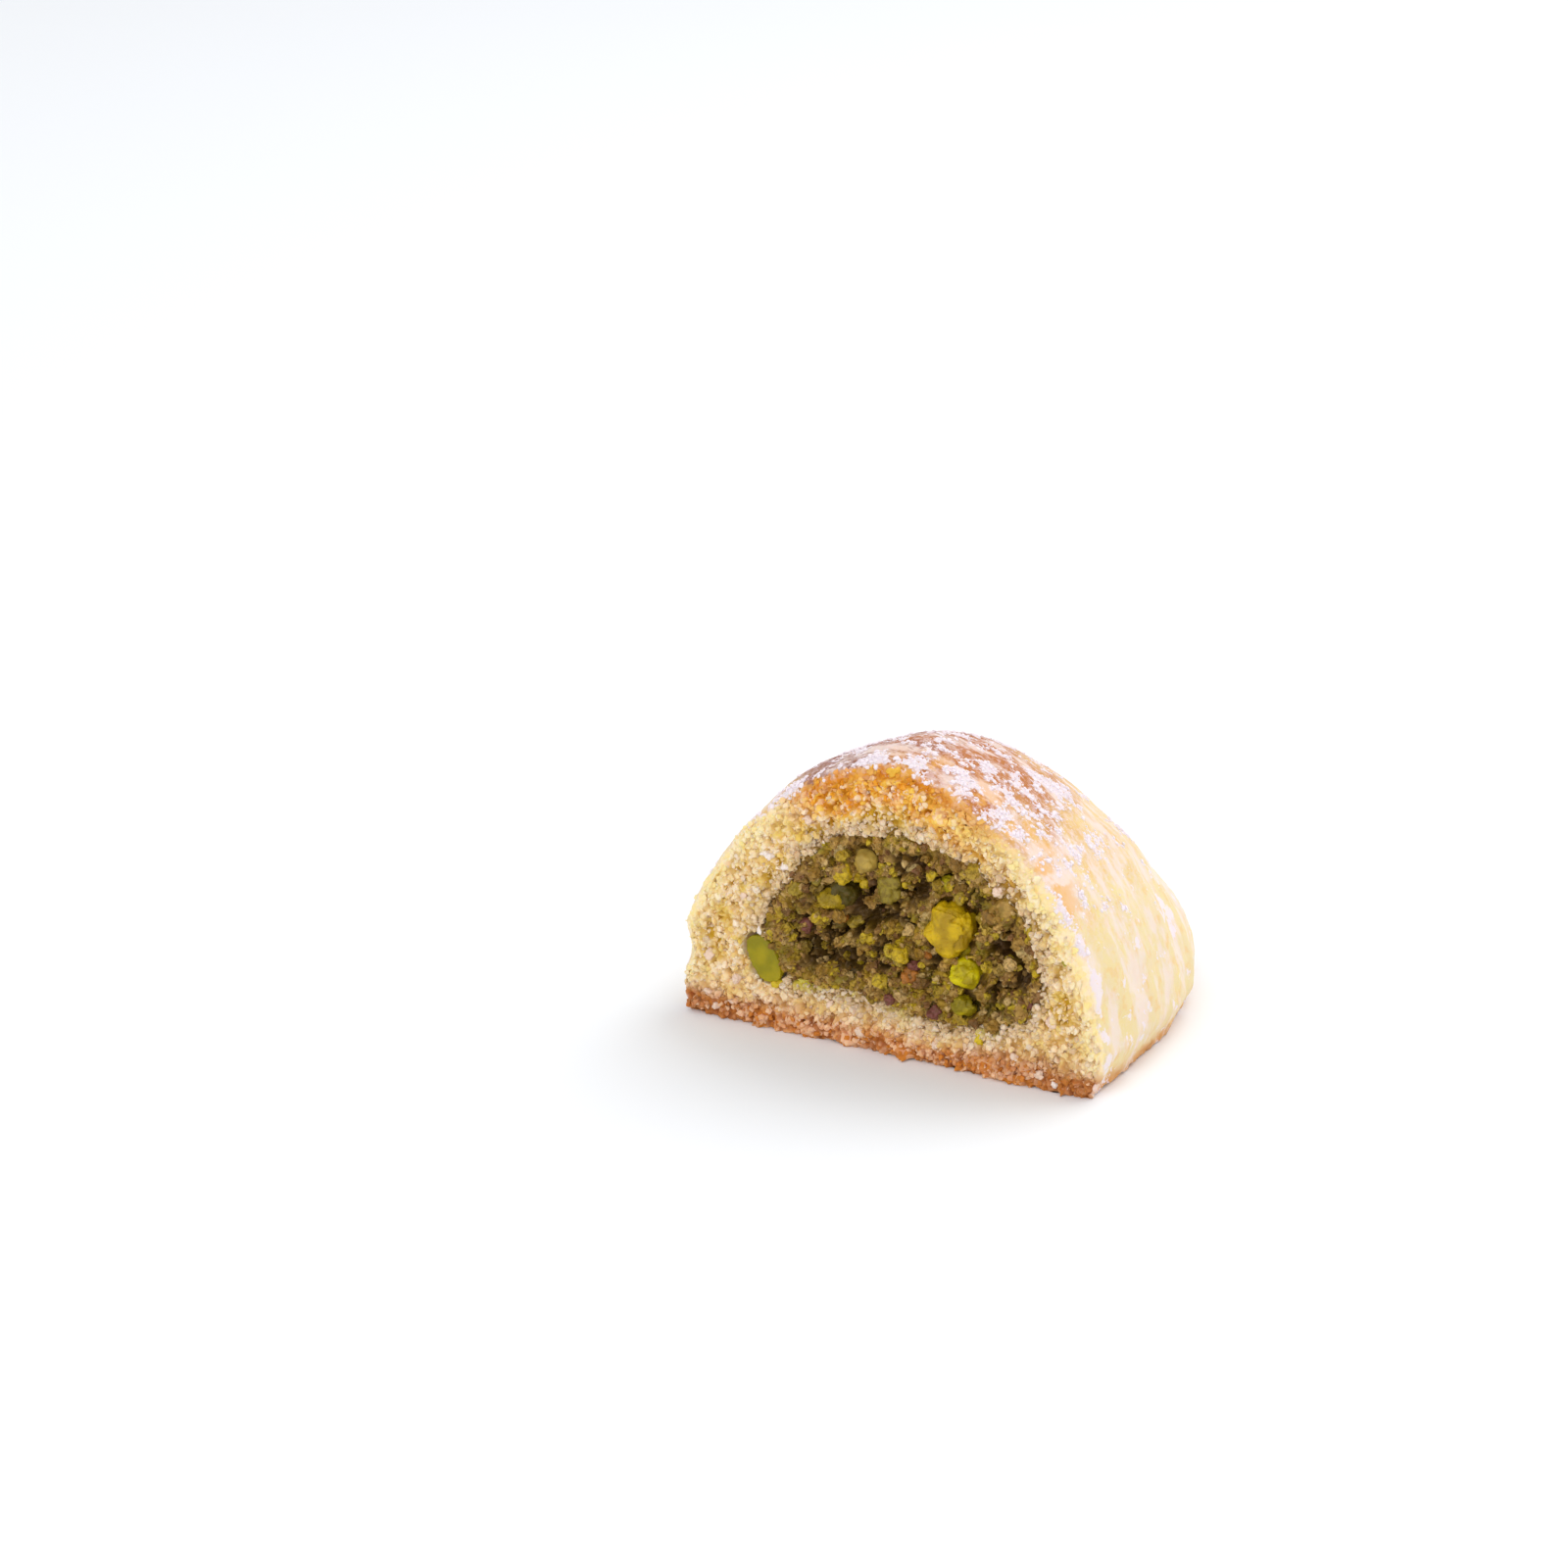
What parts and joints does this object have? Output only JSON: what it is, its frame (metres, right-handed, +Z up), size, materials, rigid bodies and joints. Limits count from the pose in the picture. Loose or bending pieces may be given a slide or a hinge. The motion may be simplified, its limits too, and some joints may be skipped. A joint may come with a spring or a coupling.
{
  "type": "maamoul cookie",
  "caption": "Half of an oval filled shortbread cookie on a flat base, cut across to show its ground nut core, with powdered sugar on the browned crust.",
  "frame": {"origin": "centre of the bounding box's bottom, on the surface the half rests on", "axes": "+Z up out of the flat base, +X across the cut face, -Y straight out of the cut face"},
  "size_m": [0.0386, 0.034, 0.0251],
  "materials": {
    "dough": "baked semolina shortbread: pale sandy crumb, smooth pale flanks, browned top and foot",
    "filling": "moist ground nuts, olive brown with dark crevices",
    "pistachio": "yellow-green nut flesh, slightly waxy",
    "sugar": "powdered sugar, dry and matt"
  },
  "bodies": {
    "root": {"dough": "dough", "filling": "filling", "pistachio_slice": "pistachio", "pistachio_large": "pistachio", "pistachio_lower": "pistachio", "pistachio_bottom": "pistachio", "pistachio_pale": "pistachio", "pistachio_olive": "pistachio"}
  },
  "joints": []
}
